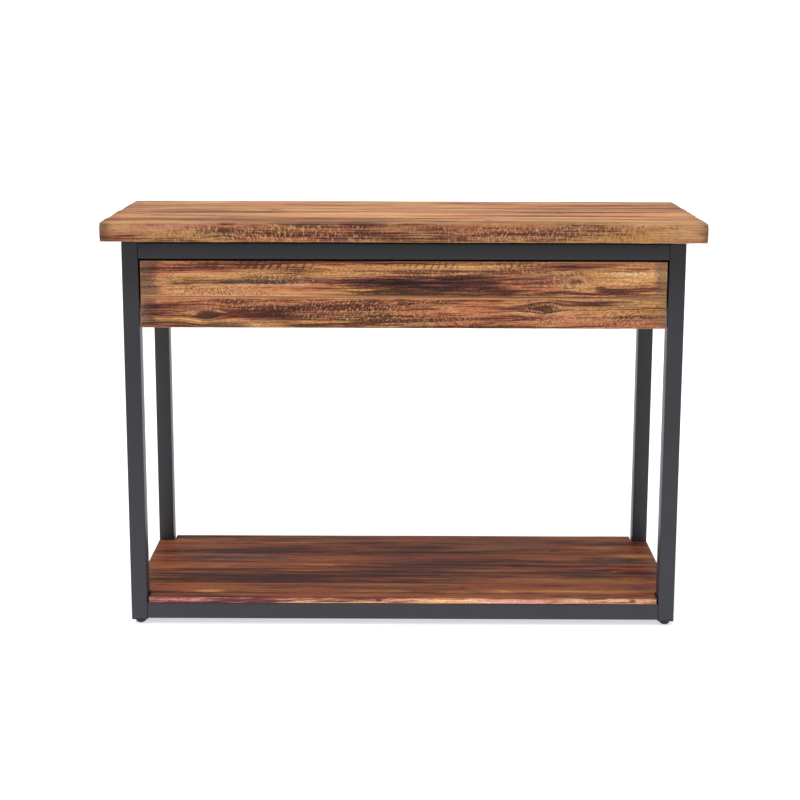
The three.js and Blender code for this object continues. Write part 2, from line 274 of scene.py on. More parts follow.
class Stain:
    """Colours of one group of boards, all taken from its commonest one."""

    def __init__(self, body, contrast=1.0, redness=0.0, rough=0.58, swing=1.0):
        self.body = tuple(body)
        self.contrast = contrast
        self.redness = redness
        self.rough = rough
        self.swing = swing
        self.dark = self.shade(0.44 / contrast, (1.0, 0.78, 0.86))
        self.deep = self.shade(0.19 / contrast, (1.0, 0.72, 0.88))
        self.brown = self.shade(0.70, (1.0, 0.88, 0.80))
        self.warm = self.shade(1.12, (1.05 + redness, 1.02 - redness, 0.74))
        self.pale = self.shade(1.35 * contrast**0.3, (1.0, 1.10, 1.16))

    def varied(self, draw, spread):
        """The same stain on another board: a little lighter or darker, redder or yellower."""
        level, hue = draw.uniform(1 - spread, 1 + spread), draw.uniform(-0.3, 0.3) * spread
        body = [channel * level * part for channel, part in zip(self.body, (1 + hue, 1.0, 1 - hue))]
        return Stain(body, self.contrast, self.redness, self.rough, self.swing)

    def shade(self, level, rgb):
        return tuple(min(channel * level * part, 1.0) for channel, part in zip(self.body, rgb))

    def stops(self):
        return [
            (0.31, self.deep),
            (0.40, self.dark),
            (0.46, self.brown),
            (0.51, self.body),
            (0.57, self.warm),
            (0.63, self.body),
            (0.72, self.pale),
        ]


PLUM = (0.105, 0.050, 0.048)
SOOT = (0.050, 0.040, 0.042)
GOLD = (0.50, 0.245, 0.088)
AMBER = (0.46, 0.205, 0.060)
CHALK = (0.50, 0.36, 0.25)
MOSS = (0.150, 0.098, 0.056)
ROSE = (0.42, 0.160, 0.110)
RUST = (0.30, 0.075, 0.035)
SAND = (0.78, 0.42, 0.27)
OCHRE = (0.36, 0.178, 0.079)
BLUSH = (0.24, 0.055, 0.033)
OLIVE = (0.18, 0.068, 0.028)
NIGHT = (0.075, 0.054, 0.034)


class Timber(Shader):
    """One board. U runs along it, V across its face and W through it, in metres from its low corner.

    On a wrapped board V goes on over the front arris and down the front edge, below 0.
    Features are listed in millimetres of U and V.
    """

    def __init__(self, name, node, stain, seed, wrap=False):
        super().__init__(bpy.data.materials.new(name))
        self.stain = stain
        self.wrap = wrap
        self.draw = random.Random(seed)
        self.seat = self.draw.uniform(0, 40)
        low, high, self.axes = long_box(node)
        self.length, self.width, self.thickness = ((high - low)[axis] for axis in self.axes)
        point = self.place()
        self.u, self.v, self.w = (point[axis] - low[axis] for axis in self.axes)
        self.face_v = self.v - self.thickness + self.w if wrap else self.v
        self.sway = self.noise(self.u * 5, self.face_v * 30 + self.seat, self.seat, 3) - 0.5
        self.ragged = self.noise(self.u * 22, self.face_v * 85, self.seat + 4, 6, 0.72) - 0.5

    def rings(self, distance):
        """Growth rings, at a distance from the pith."""
        return self.math("SINE", (distance + self.fine * 0.001) * (TURN / RING_GAP)) * 0.5 + 0.5

    def grain(self, knots):
        """Streaks that follow the growth rings, and part round the knots."""
        at = self.seat
        stray = self.noise(self.u * 1.9, self.v * 9 + at, self.w * 9, 3) - 0.5
        across = self.v + stray * 0.015
        self.eyes = None
        for knot_u, knot_v, radius in knots:
            du = (self.u - knot_u * MM) * (1 / (radius * 2.1 * MM))
            dv = (self.face_v - knot_v * MM) * (1 / (radius * MM))
            reach = du * du + dv * dv
            across = across - self.math("EXPONENT", reach * -0.20) * dv * (radius * 0.9 * MM)
            eye = self.step(reach + stray * 1.2 + self.ragged * 1.6, 1.7, 0.3)
            self.eyes = eye if self.eyes is None else self.math("MAXIMUM", self.eyes, eye)
        pith_side = self.draw.choice((LOW, HIGH))
        pith_depth = self.draw.uniform(0.035, 0.080)
        lean = self.draw.uniform(-0.03, 0.03)
        pith = self.width * self.draw.uniform(0.2, 0.8)
        offset = across - pith
        depth = self.w * pith_side + self.u * lean + pith_depth + self.thickness
        ring = self.math("SQRT", offset * offset + depth * depth)
        plain = self.v - pith
        self.end_ring = self.math("SQRT", plain * plain + depth * depth)
        self.line = ring * 0.45 + across * 0.75
        self.broad = self.noise(self.u * 1.3, self.line * 30 + at, at, 3, 0.55)
        self.streak = self.noise(self.u * 3.2, self.line * 125 + at, at + 3, 4, 0.62)
        self.fine = self.noise(self.u * 16, self.line * 640 + at, at + 7, 3, 0.65)
        tone = (self.broad - 0.5) * 0.85 + (self.streak - 0.5) * 1.10 + (self.fine - 0.5) * 0.85
        tone = (tone + (self.rings(ring) - 0.5) * 0.07) * self.stain.swing + 0.5
        self.colour = self.ramp(tone, self.stain.stops())
        self.height = self.streak * 0.5 + self.fine * 0.35
        hue = self.noise(self.u * 4, self.face_v * 30, at + 15, 3, 0.6)
        most = 0.9 * self.stain.swing
        self.tone((0.92, 0.66, 0.80), self.step(hue, 0.46, 0.58) * most)
        self.tone((1.05, 1.05, 0.84), self.step(hue, 0.48, 0.36) * most)
        pore = self.step(self.noise(self.u * 60, self.line * 1400 + at, at + 11, 1), 0.60, 0.72)
        self.paint(self.stain.dark, pore * 0.5, 1.0)

    def paint(self, colour, mask, depth=0.0):
        """Covers the wood with a colour, and can sink it too."""
        self.colour = self.mix(self.colour, colour, mask)
        if depth:
            self.height = self.height - mask * depth

    def tone(self, factors, mask):
        """Multiplies the wood's colour, so that its grain stays."""
        self.colour = self.mix(self.colour, factors, mask, "MULTIPLY")

    def area(self, u, v, half_u, half_v):
        """A stretched patch with a ragged edge, 1 inside and 0 outside."""
        du = abs(self.u - u * MM + self.sway * (half_u * 0.5 * MM)) * (1000 / half_u)
        dv = abs(self.face_v - v * MM + self.sway * (half_v * 1.1 * MM)) * (1000 / half_v)
        edge = self.ragged * 2.2
        return self.step(du + edge, 1.15, 0.25) * self.step(dv + edge, 1.08, 0.66)

    def bands(self, listed):
        """Stains in long patches."""
        for u, v, half_u, half_v, colour, strength in listed:
            worn = self.step(self.streak, 0.22, 0.52) * (0.2 * strength) + 0.8 * strength
            stained = tuple(wanted / body for wanted, body in zip(colour, self.stain.body))
            inside = self.area(u, v, half_u, half_v)
            if v < 0 and half_v < EDGE_BAND:
                inside = inside * self.step(self.face_v, 0.0008, -0.0004)
            self.tone(stained, inside * worn)

    def flecks(self, sawn):
        """Short torn fibres, in patches. A wrapped board has them on its edge more than on its face."""
        torn = self.noise(self.u * 230, self.face_v * 560, self.seat + 9, 4, 0.75)
        patch = self.step(self.noise(self.u * 8, self.face_v * 38, self.seat + 5, 3, 0.6), 0.30, 0.50)
        if self.wrap:
            patch = patch * self.step(self.face_v, 0.002, -0.002) + patch * 0.5
        pits = self.step(torn, 0.55, 0.61) * patch * sawn
        self.tone((1.45, 1.55, 1.60), self.step(torn, 0.47, 0.40) * patch * sawn)
        self.tone((0.46, 0.36, 0.38), pits)
        self.height = self.height - pits * 0.8

    def saw_marks(self, listed):
        """Broken, slanting cuts of a coarse saw, dark in their depths and pale on their crests."""
        for u, v, half_u, half_v, pitch, slant, strength in listed:
            lean = (self.u + self.face_v * slant) * (1500 / pitch)
            run = (self.face_v - self.u * slant) * (700 / pitch)
            cuts = self.noise(lean, run, self.seat + pitch, 3, 0.62)
            inside = self.area(u, v, half_u, half_v)
            self.paint(self.stain.pale, self.step(cuts, 0.47, 0.38) * inside * strength)
            self.paint(self.stain.deep, self.step(cuts, 0.53, 0.60) * inside * strength, 0.9)

    def saw_teeth(self, listed):
        """Evenly spaced, slanting notches along an edge."""
        for u, v, half_u, half_v, pitch, slant, strength in listed:
            drift = self.noise(self.u * 26, self.face_v * 26, self.seat + 8, 2) - 0.5
            lean = self.u + self.face_v * slant + drift * (pitch * 1.1 * MM)
            wave = self.math("SINE", lean * (TURN / (pitch * MM))) * 0.5 + 0.5
            tooth = self.step(wave + self.ragged * 3.0, 0.66, 0.80) * self.area(u, v, half_u, half_v)
            self.paint(self.stain.deep, tooth * self.step(drift, -0.20, -0.08) * strength, 1.2)

    def checks(self, listed):
        """Drying cracks."""
        for u, v, half_u, width, slope in listed:
            past = abs(self.u - u * MM) * (1000 / half_u)
            gone = self.face_v - v * MM + (self.u - u * MM) * slope + self.sway * 0.006 + self.ragged * 0.002
            line = self.step(abs(gone) * (1000 / width) + past * 0.6, 1.0, 0.5) * self.step(past, 1.0, 0.85)
            self.paint(self.stain.deep, line * 0.9, 2.0)

    def weathered(self, rub, dirt):
        """Knots, ends that drank more stain, seams, rubbed arrises and end grain."""
        if self.eyes is not None:
            heart = self.noise(self.u * 70, self.face_v * 200, self.seat + 2, 3)
            self.paint(self.stain.deep, self.eyes * (heart * 0.6 + 0.45), 0.7)
        from_end = self.math("MINIMUM", self.u, self.length - self.u)
        from_side = self.math("MINIMUM", self.v, self.width - self.v)
        from_face = self.math("MINIMUM", self.w, self.thickness - self.w)
        soaked = self.step(from_end + self.sway * 0.04 + self.ragged * 0.012, 0.030, 0.004)
        self.paint(MOSS, soaked * dirt)
        from_seam = self.width - self.v if self.wrap else from_side
        seam = self.step(from_seam + self.ragged * 0.0012, 0.0019, 0.0010)
        seam = seam * self.step(from_face, 0.0020, 0.0010)
        self.paint(self.stain.deep, seam * self.step(self.streak, 0.36, 0.46) * 0.85)
        corner = self.math("MAXIMUM", from_side, from_face)
        rubbed = self.step(corner + self.ragged * 0.003, 0.0042, 0.0012) * self.step(self.broad, 0.30, 0.58)
        self.paint(self.stain.pale, rubbed * rub)
        along = self.facing()[self.axes[0]]
        cut = self.step(abs(along), 0.55, 0.85)
        drift = self.noise(self.end_ring * 90, self.seat, 0.0, 2) * 0.012
        growth = self.rings(self.end_ring + drift)
        self.paint(self.mix(self.stain.deep, self.stain.brown, growth * 0.6 + self.fine * 0.4), cut * 0.85)
        self.height = self.height + cut * growth * 0.5

    def done(self):
        sockets = {
            "Base Color": self.colour,
            "Roughness": (self.fine - 0.5) * 0.25 + (self.streak - 0.5) * 0.15 + self.stain.rough,
            "Normal": self.bump(self.height, 0.5 * MM, 0.7),
            "Specular IOR Level": 0.16,
        }
        return self.finish(sockets)


def board_wood(node, stain, seed, features=None, wrap=False, rub=0.5, dirt=0.3, sawn=0.35):
    """The whole finish of one board. Features is a dict of lists, one for each kind of mark."""
    kinds = ("knots", "bands", "saw_marks", "saw_teeth", "checks")
    listed = {**dict.fromkeys(kinds, ()), **(features or {})}
    timber = Timber(f"{node}_wood", node, stain, seed, wrap)
    timber.grain(listed["knots"])
    timber.bands(listed["bands"])
    timber.flecks(sawn)
    timber.saw_marks(listed["saw_marks"])
    timber.saw_teeth(listed["saw_teeth"])
    timber.checks(listed["checks"])
    timber.weathered(rub, dirt)
    return timber.done()


# Bands are U, V, half length, half width, colour and strength.
# Saw marks and saw teeth are U, V, half length, half width, pitch, slant and strength.
# Checks are U, V, half length, width and slope. Knots are U, V and radius. All in millimetres.
SLAB_FEATURES = {
    1: {
        "knots": [(650, -28, 5), (225, -15, 6), (700, 34, 4)],
        "bands": [
            (280, 34, 60, 13, AMBER, 0.55),
            (520, 22, 150, 7, CHALK, 0.35),
            (546, -19, 1100, 40, OCHRE, 1.0),
            (337, -19, 62, 8, GOLD, 0.9),
            (215, -14, 40, 10, PLUM, 0.45),
            (450, -30, 40, 7, PLUM, 0.5),
            (810, -16, 60, 13, PLUM, 0.35),
            (620, -10, 70, 6, PLUM, 0.4),
            (950, -22, 80, 9, GOLD, 0.4),
            (0, -19, 20, 30, NIGHT, 0.6),
            (1092, -19, 18, 30, NIGHT, 0.55),
        ],
        "saw_marks": [
            (300, -19, 250, 17, 4.4, 0.15, 0.65),
            (790, -19, 250, 17, 4.9, -0.1, 0.6),
        ],
    },
    2: {"bands": [(760, 30, 130, 6, CHALK, 0.3), (420, 20, 120, 7, AMBER, 0.4)]},
    3: {"bands": [(690, 28, 150, 8, PLUM, 0.35), (250, 40, 90, 9, AMBER, 0.35)], "knots": [(840, 30, 5)]},
    4: {
        "bands": [(180, 30, 90, 9, PLUM, 0.3), (880, 20, 100, 8, AMBER, 0.4)],
        "checks": [(360, 38, 75, 1.6, 0.01), (470, 31, 40, 1.3, 0.0)],
        "knots": [(300, 14, 6)],
    },
    5: {
        "bands": [(120, 40, 70, 7, PLUM, 0.55), (600, 30, 140, 9, CHALK, 0.35)],
        "checks": [(250, 18, 60, 1.4, 0.0)],
    },
    6: {
        "bands": [(300, 25, 180, 9, CHALK, 0.4), (60, 44, 60, 12, PLUM, 0.6), (850, 20, 120, 8, AMBER, 0.3)],
    },
}
SHELF_FEATURES = {
    1: {
        "knots": [(430, -5, 3), (905, -5, 3)],
        "bands": [
            (475, -6.5, 900, 20, SAND, 1.0),
            (70, -6, 240, 8, BLUSH, 0.8),
            (800, -6, 260, 8, OLIVE, 0.6),
        ],
    },
    2: {
        "knots": [(620, 30, 4)],
        "bands": [
            (140, 10, 32, 6, GOLD, 0.75),
            (70, 26, 75, 11, RUST, 0.6),
            (790, 12, 170, 7, GOLD, 0.45),
            (960, 30, 34, 12, PLUM, 0.8),
            (420, 36, 170, 8, SOOT, 0.45),
            (560, 10, 140, 6, AMBER, 0.35),
        ],
    },
    3: {
        "bands": [
            (330, 12, 220, 7, RUST, 0.45),
            (610, 32, 60, 9, PLUM, 0.55),
            (800, 22, 170, 7, AMBER, 0.35),
            (100, 40, 90, 7, SOOT, 0.55),
        ],
    },
    4: {
        "knots": [(733, 40, 5), (393, 27, 4), (907, 14, 6)],
        "bands": [
            (353, 46, 66, 6, GOLD, 0.65),
            (933, 36, 75, 11, RUST, 0.75),
            (560, 18, 200, 8, SOOT, 0.45),
            (160, 34, 120, 10, ROSE, 0.35),
            (700, 8, 120, 6, AMBER, 0.35),
        ],
        "checks": [(420, 38, 50, 1.6, 0.0)],
    },
    5: {
        "knots": [(523, 25, 4)],
        "bands": [
            (165, 27, 150, 12, SOOT, 0.9),
            (940, 13, 85, 13, SOOT, 0.85),
            (240, 46, 190, 7, RUST, 0.6),
            (975, 42, 48, 9, GOLD, 0.6),
            (560, 14, 120, 7, PLUM, 0.55),
        ],
    },
    6: {
        "knots": [(817, 17, 5)],
        "bands": [
            (90, 30, 70, 9, MOSS, 0.5),
            (420, 24, 200, 8, RUST, 0.45),
            (700, 30, 120, 12, MOSS, 0.5),
            (880, 34, 80, 8, AMBER, 0.4),
        ],
    },
    7: {
        "bands": [
            (70, 16, 70, 12, RUST, 0.5),
            (430, 36, 220, 9, MOSS, 0.5),
            (760, 24, 190, 10, SOOT, 0.4),
            (300, 10, 160, 6, AMBER, 0.3),
        ],
    },
}
FRONT_FEATURES = {
    "lower": {
        "knots": [(118, 25, 7), (473, 48, 4), (731, 38, 6), (650, 5, 3)],
        "bands": [
            (16, 26, 20, 34, PLUM, 0.65),
            (430, 50, 260, 6, GOLD, 0.5),
            (190, 44, 120, 10, GOLD, 0.4),
            (118, 25, 24, 11, SOOT, 0.55),
            (265, 30, 85, 15, PLUM, 0.42),
            (400, 8, 130, 6, GOLD, 0.45),
            (160, 4, 50, 7, SOOT, 0.6),
            (43, 7, 38, 4, ROSE, 0.9),
            (560, 30, 110, 12, GOLD, 0.4),
            (640, 5, 80, 5, AMBER, 0.7),
            (731, 36, 22, 14, SOOT, 0.3),
            (860, 44, 90, 9, MOSS, 0.4),
            (930, 24, 30, 22, PLUM, 0.35),
        ],
        "saw_marks": [
            (395, 33, 175, 24, 5.6, -0.8, 0.62),
            (180, 44, 130, 14, 5.0, -0.7, 0.5),
            (735, 26, 70, 24, 5.4, 0.9, 0.55),
            (870, 18, 75, 20, 4.8, -0.9, 0.55),
            (560, 14, 90, 14, 4.8, 0.5, 0.45),
        ],
        "checks": [(565, 14, 18, 1.5, 0.75)],
    },
    "upper": {
        "knots": [(831, 16, 5), (786, 30, 4)],
        "bands": [
            (16, 33, 24, 42, PLUM, 0.7),
            (370, 56, 330, 10, GOLD, 0.65),
            (330, 9, 130, 9, GOLD, 0.75),
            (150, 10, 95, 9, GOLD, 0.5),
            (190, 27, 135, 5, SOOT, 0.85),
            (240, 31, 100, 8, PLUM, 0.55),
            (440, 27, 150, 8, SOOT, 0.6),
            (555, 25, 120, 19, PLUM, 0.6),
            (500, 30, 90, 7, SOOT, 0.45),
            (620, 24, 60, 6, SOOT, 0.35),
            (740, 34, 110, 12, PLUM, 0.35),
            (780, 56, 90, 9, PLUM, 0.5),
            (870, 30, 70, 12, GOLD, 0.3),
            (880, 42, 55, 5, CHALK, 0.4),
            (940, 34, 14, 40, MOSS, 0.6),
        ],
        "saw_marks": [
            (150, 10, 95, 10, 5.2, 0.7, 0.75),
            (250, 30, 80, 13, 5.4, -0.9, 0.6),
            (670, 54, 60, 12, 4.8, 0.5, 0.6),
            (770, 34, 60, 18, 9.0, 0.9, 0.5),
            (880, 42, 60, 9, 5.0, -0.6, 0.4),
            (420, 46, 280, 8, 5.2, 0.8, 0.45),
        ],
        "saw_teeth": [(215, 59, 165, 10, 14.5, -0.55, 0.9), (590, 60, 210, 8, 12.0, -0.55, 0.7)],
    },
}


# ---- other finishes ----


def powder_coat(name, paint, gloss):
    """Satin powder coat with orange peel, scuffs and dust specks, painted lighter low down as light from the
    floor and darkened near the slab as painted shade.
    """
    s = Shader(bpy.data.materials.new(name))
    x, y, z = point = s.place()
    peel = s.even_noise(point, 700)
    cloud = s.even_noise(point, 7, 4, 0.6)
    scuff = s.step(s.noise(x * 60, y * 60, z * 25, 4, 0.75), 0.66, 0.78)
    dust = s.step(s.spots(x * 420, y * 420, z * 420), 0.16, 0.05) * s.step(cloud, 0.45, 0.7)
    darker, plain, lighter, bare_and_floor_lit, slab_shade = (
        tuple(min(channel * level, 1) for channel in paint) for level in (0.82, 1.0, 1.25, 2.2, 0.3)
    )
    colour = s.ramp(cloud, [(0.3, darker), (0.5, plain), (0.72, lighter)])
    # Scuffs and dust specks lighten the paint. The rise towards the floor is painted light from the floor.
    colour = s.mix(colour, bare_and_floor_lit, scuff * 0.3 + dust * 0.25 + s.step(z, 0.55, 0.0) * 0.40)
    # Painted shade from the slab: the paint is darkened near the top of the frame.
    colour = s.mix(colour, slab_shade, s.step(z, 0.60, 0.69) * 0.75)
    sockets = {
        "Base Color": colour,
        "Roughness": (cloud - 0.5) * 0.18 + scuff * 0.12 + gloss,
        "Normal": s.bump(peel, 0.05 * MM, 0.5),
        "Specular IOR Level": 0.37,
    }
    return s.finish(sockets)


def zinc(name):
    """Bright zinc plate with soft blotches and fine rolling lines."""
    s = Shader(bpy.data.materials.new(name))
    x, y, z = point = s.place()
    blotch = s.even_noise(point, 40, 3, 0.6)
    rolled = s.noise(x * 900, y * 12, z * 900, 2)
    stops = [(0.3, (0.44, 0.46, 0.50)), (0.5, (0.58, 0.60, 0.62)), (0.7, (0.68, 0.68, 0.66))]
    sockets = {
        "Base Color": s.ramp(blotch, stops),
        "Roughness": (blotch - 0.5) * 0.3 + (rolled - 0.5) * 0.12 + 0.34,
        "Metallic": 1.0,
        "Normal": s.bump(rolled, 0.02 * MM, 0.4),
    }
    return s.finish(sockets)


def black_steel(name):
    """Blackened screw steel, rubbed a little where the key turns."""
    s = Shader(bpy.data.materials.new(name))
    rub = s.even_noise(s.place(), 500, 3, 0.6)
    stops = [(0.35, (0.012, 0.012, 0.013)), (0.6, (0.035, 0.034, 0.034)), (0.75, (0.12, 0.115, 0.11))]
    sockets = {
        "Base Color": s.ramp(rub, stops),
        "Roughness": (rub - 0.5) * 0.3 + 0.4,
        "Metallic": 0.6,
        "Normal": s.bump(rub, 0.02 * MM, 0.5),
    }
    return s.finish(sockets)


def moulded_plastic(name):
    """Black nylon with a spark-eroded grain."""
    s = Shader(bpy.data.materials.new(name))
    point = s.place()
    grain = s.even_noise(point, 1400)
    haze = s.even_noise(point, 60, 3)
    sockets = {
        "Base Color": s.ramp(haze, [(0.35, (0.008, 0.008, 0.009)), (0.65, (0.020, 0.020, 0.021))]),
        "Roughness": (haze - 0.5) * 0.2 + 0.55,
        "Normal": s.bump(grain, 0.06 * MM, 0.6),
        "Specular IOR Level": 0.4,
    }
    return s.finish(sockets)


# ---- modelling ----


def select_only(piece):
    bpy.ops.object.select_all(action="DESELECT")
    piece.select_set(True)
    bpy.context.view_layer.objects.active = piece


def block(name, low, high):
    """A box between two corners, with its place in its mesh."""
    bpy.ops.object.select_all(action="DESELECT")
    bpy.ops.mesh.primitive_cube_add(size=1, location=(low + high) / 2, scale=high - low)
    piece = bpy.context.object
    piece.name = name
    piece.data.name = name
    bpy.ops.object.transform_apply(location=True, rotation=True, scale=True)
    return piece


def shape(piece, kind, chosen, action, **settings):
    """Selects the edges or faces that chosen() picks, and runs one edit-mode operator on them."""
    select_only(piece)
    bpy.ops.object.mode_set(mode="EDIT")
    bpy.ops.mesh.select_mode(type=kind)
    bpy.ops.mesh.select_all(action="DESELECT")
    mesh = bmesh.from_edit_mesh(piece.data)
    for part in mesh.edges if kind == "EDGE" else mesh.faces:
        if chosen(part):
            part.select_set(True)
    bmesh.update_edit_mesh(piece.data)
    action(**settings)
    bpy.ops.object.mode_set(mode="OBJECT")


def everything(part):
    return True


def along_axis(edge, axis):
    reach = edge.verts[1].co - edge.verts[0].co
    return abs(reach[axis]) > reach.length * STRAIGHT


def on_plane(part, axis, level):
    return all(abs(vertex.co[axis] - level) < HAIR for vertex in part.verts)


def slice_along(piece, axis, cell):
    """Cuts every edge that runs along an axis into pieces no longer than a cell."""
    points = [vertex.co for vertex in piece.data.vertices]
    ends = [edge.vertices for edge in piece.data.edges]
    longest = max(abs(points[first][axis] - points[second][axis]) for first, second in ends)
    parts = math.ceil(longest / cell)
    rounds = [parts] if parts < MOST_CUTS else [math.ceil(math.sqrt(parts))] * 2

    def lengthwise(edge):
        return along_axis(edge, axis)

    for count in rounds:
        if count > 1:
            shape(piece, "EDGE", lengthwise, bpy.ops.mesh.subdivide, number_cuts=count - 1)


def press_in(piece, chosen, seat, axis, stretch, depth, direction="NORMAL"):
    """Sinks the vertices that chosen() picks, in hollows of one length along an axis and one across it."""
    picked = [vertex.index for vertex in piece.data.vertices if chosen(vertex.co)]
    group = piece.vertex_groups.new(name="pressed")
    group.add(picked, 1.0, "REPLACE")
    bpy.ops.object.empty_add(location=seat)
    gauge = bpy.context.object
    gauge.scale = [stretch[0] if side == axis else stretch[1] for side in range(3)]
    bpy.context.view_layer.update()
    hollows = bpy.data.textures.new("hollows", "CLOUDS")
    hollows.noise_scale = 1.0
    hollows.noise_depth = 2
    select_only(piece)
    modifier = piece.modifiers.new("hollows", "DISPLACE")
    modifier.texture = hollows
    modifier.texture_coords = "OBJECT"
    modifier.texture_coords_object = gauge
    modifier.vertex_group = group.name
    modifier.direction = direction
    modifier.mid_level = CLOUD_TOP
    modifier.strength = depth
    bpy.ops.object.modifier_apply(modifier=modifier.name)
    bpy.data.objects.remove(gauge)
    piece.vertex_groups.clear()


def smooth(piece):
    select_only(piece)
    bpy.ops.object.shade_smooth_by_angle(angle=SMOOTH_BELOW)


def dress(piece, material, body, slot, *nodes):
    """The last step for each new piece: its finish, the body it rides on and the solids it stands for."""
    piece.data.materials.clear()
    piece.data.materials.append(material)
    piece.vertex_groups.clear()
    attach(piece, body)
    if nodes:
        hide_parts(*nodes)


def long_box(node):
    """A node's corners, and its axes along, across and through it."""
    low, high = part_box(node)
    return low, high, sorted(range(3), key=lambda axis: low[axis] - high[axis])


def plank(name, node, outer, seams=(), seed=0, stagger=0.0, nibble=0.0, notched=None):
    """A sawn board in a node's place: eased seams, rounder outer edges, hollows and knocked arrises."""
    wood = bpy.context.scene.table_wood
    draw = random.Random(seed)
    low, high, (along, across, through) = long_box(node)
    thickness = high[through] - low[through]
    if LOW in seams:
        low[across] -= GLUE_LINE
    if HIGH in seams:
        high[across] += GLUE_LINE
    low[along] += draw.uniform(0, stagger) + nibble / 4
    high[along] -= draw.uniform(0, stagger) + nibble / 4
    piece = block(name, low, high)
    for side, level in ((LOW, low[across]), (HIGH, high[across])):
        radius = wood.seam_ease if side in seams else outer
        shape(
            piece,
            "EDGE",
            lambda edge: along_axis(edge, along) and on_plane(edge, across, level),
            bpy.ops.mesh.bevel,
            offset=radius,
            segments=4 if radius > 2 * MM else 3,
        )
    for level in (low[along], high[along]):
        shape(
            piece,
            "EDGE",
            lambda edge: on_plane(edge, along, level),
            bpy.ops.mesh.bevel,
            offset=min(wood.end_ease, thickness / 12),
            segments=3,
        )
    for axis in (along, across, through):
        slice_along(piece, axis, wood.cell)
    if notched:
        cut_notches(piece, node, notched)

    seat = Vector([draw.uniform(0, 5) for _ in range(3)])
    faces = [(through, LOW), (through, HIGH)] + [(across, side) for side in (LOW, HIGH) if side not in seams]
    for axis, side in faces:
        middle = (low[axis] + high[axis]) / 2

        def half(point):
            return (point[axis] - middle) * side > 0

        press_in(piece, half, seat, along, SCOOP_SIZE, side * wood.scoop, "XYZ"[axis])

    def arris(point):
        sides = [point[along] - low[along], high[along] - point[along]]
        sides += [point[across] - low[across]] if LOW not in seams else []
        sides += [high[across] - point[across]] if HIGH not in seams else []
        face = min(point[through] - low[through], high[through] - point[through])
        return max(min(sides), face) < outer + wood.scoop

    if nibble:
        press_in(piece, arris, -seat, along, KNOCK_SIZE, nibble)
    smooth(piece)
    return piece


def cut_notches(piece, node, towards_rear):
    """Saws a shelf board's corners away round the legs."""
    low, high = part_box(node)
    for towards_right in (LOW, HIGH):
        inner = Vector((towards_right * (high.x - NOTCH), towards_rear * (HALF_DEPTH - NOTCH), low.z - MM))
        outer = Vector((towards_right * (high.x + MM), towards_rear * (HALF_DEPTH + MM), high.z + MM))
        corners = list(zip(inner, outer))
        cutter = block("cutter", *(Vector([end(pair) for pair in corners]) for end in (min, max)))
        select_only(piece)
        modifier = piece.modifiers.new("notch", "BOOLEAN")
        modifier.operation = "DIFFERENCE"
        modifier.solver = "EXACT"
        modifier.object = cutter
        bpy.ops.object.modifier_apply(modifier=modifier.name)
        bpy.data.objects.remove(cutter)


def tube(name, node, axis):
    """Square tube in a node's place, rounded along its length and hollow from end to end."""
    steel = bpy.context.scene.table_steel
    low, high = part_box(node)
    piece = block(name, low, high)

    def corners(edge):
        return along_axis(edge, axis)

    def ends(face):
        return on_plane(face, axis, low[axis]) or on_plane(face, axis, high[axis])

    def bores(face):
        return ends(face) and len(face.verts) > 4

    shape(piece, "EDGE", corners, bpy.ops.mesh.bevel, offset=steel.corner, segments=5)
    shape(piece, "FACE", ends, bpy.ops.mesh.inset, thickness=steel.wall)
    shape(piece, "FACE", bores, bpy.ops.mesh.bridge_edge_loops)
    shape(piece, "FACE", everything, bpy.ops.mesh.normals_make_consistent, inside=False)
    smooth(piece)
    return piece


def pan_head(name, seat, radius, height):
    """A domed screw head that faces the rear, with a socket for the driver."""
    bpy.ops.object.select_all(action="DESELECT")
    placed = {"location": seat + Vector((0, height / 2, 0)), "rotation": (math.radians(-90), 0, 0)}
    bpy.ops.mesh.primitive_cylinder_add(vertices=24, radius=radius, depth=height, **placed)
    piece = bpy.context.object
    piece.name = name
    piece.data.name = name
    bpy.ops.object.transform_apply(location=True, rotation=True, scale=True)
    top = seat.y + height

    def crown(part):
        return on_plane(part, 1, top)

    def socket(face):
        return crown(face) and len(face.verts) > 4

    shape(piece, "EDGE", crown, bpy.ops.mesh.bevel, offset=height * 0.55, segments=4)
    shape(piece, "FACE", crown, bpy.ops.mesh.inset, thickness=radius * 0.2)
    shape(piece, "FACE", socket, bpy.ops.mesh.inset, thickness=radius * 0.06, depth=-height * 0.6)
    smooth(piece)
    return piece


def eased_copy(name, node, ease):
    """A CAD node's own shape, merged into one skin and with its sharp edges eased."""
    piece = bpy.data.objects.new(name, frame["nodes"][node].data.copy())
    bpy.context.scene.collection.objects.link(piece)
    shape(piece, "FACE", everything, bpy.ops.mesh.remove_doubles, threshold=0.002 * MM)
    shape(piece, "FACE", everything, bpy.ops.mesh.dissolve_limited, angle_limit=math.radians(1))
    if ease:
        modifier = piece.modifiers.new("ease", "BEVEL")
        modifier.width = ease
        modifier.segments = 2
        modifier.limit_method = "ANGLE"
        modifier.angle_limit = math.radians(50)
        select_only(piece)
        bpy.ops.object.modifier_apply(modifier=modifier.name)
    smooth(piece)
    return piece


def board_seed(number):
    return bpy.context.scene.table_wood.seed * 1000 + number


def row_seams(number, count):
    """The sides on which a board in a row is glued to another."""
    return [side for side, last in ((LOW, 1), (HIGH, count)) if number != last]


# ---- operators ----


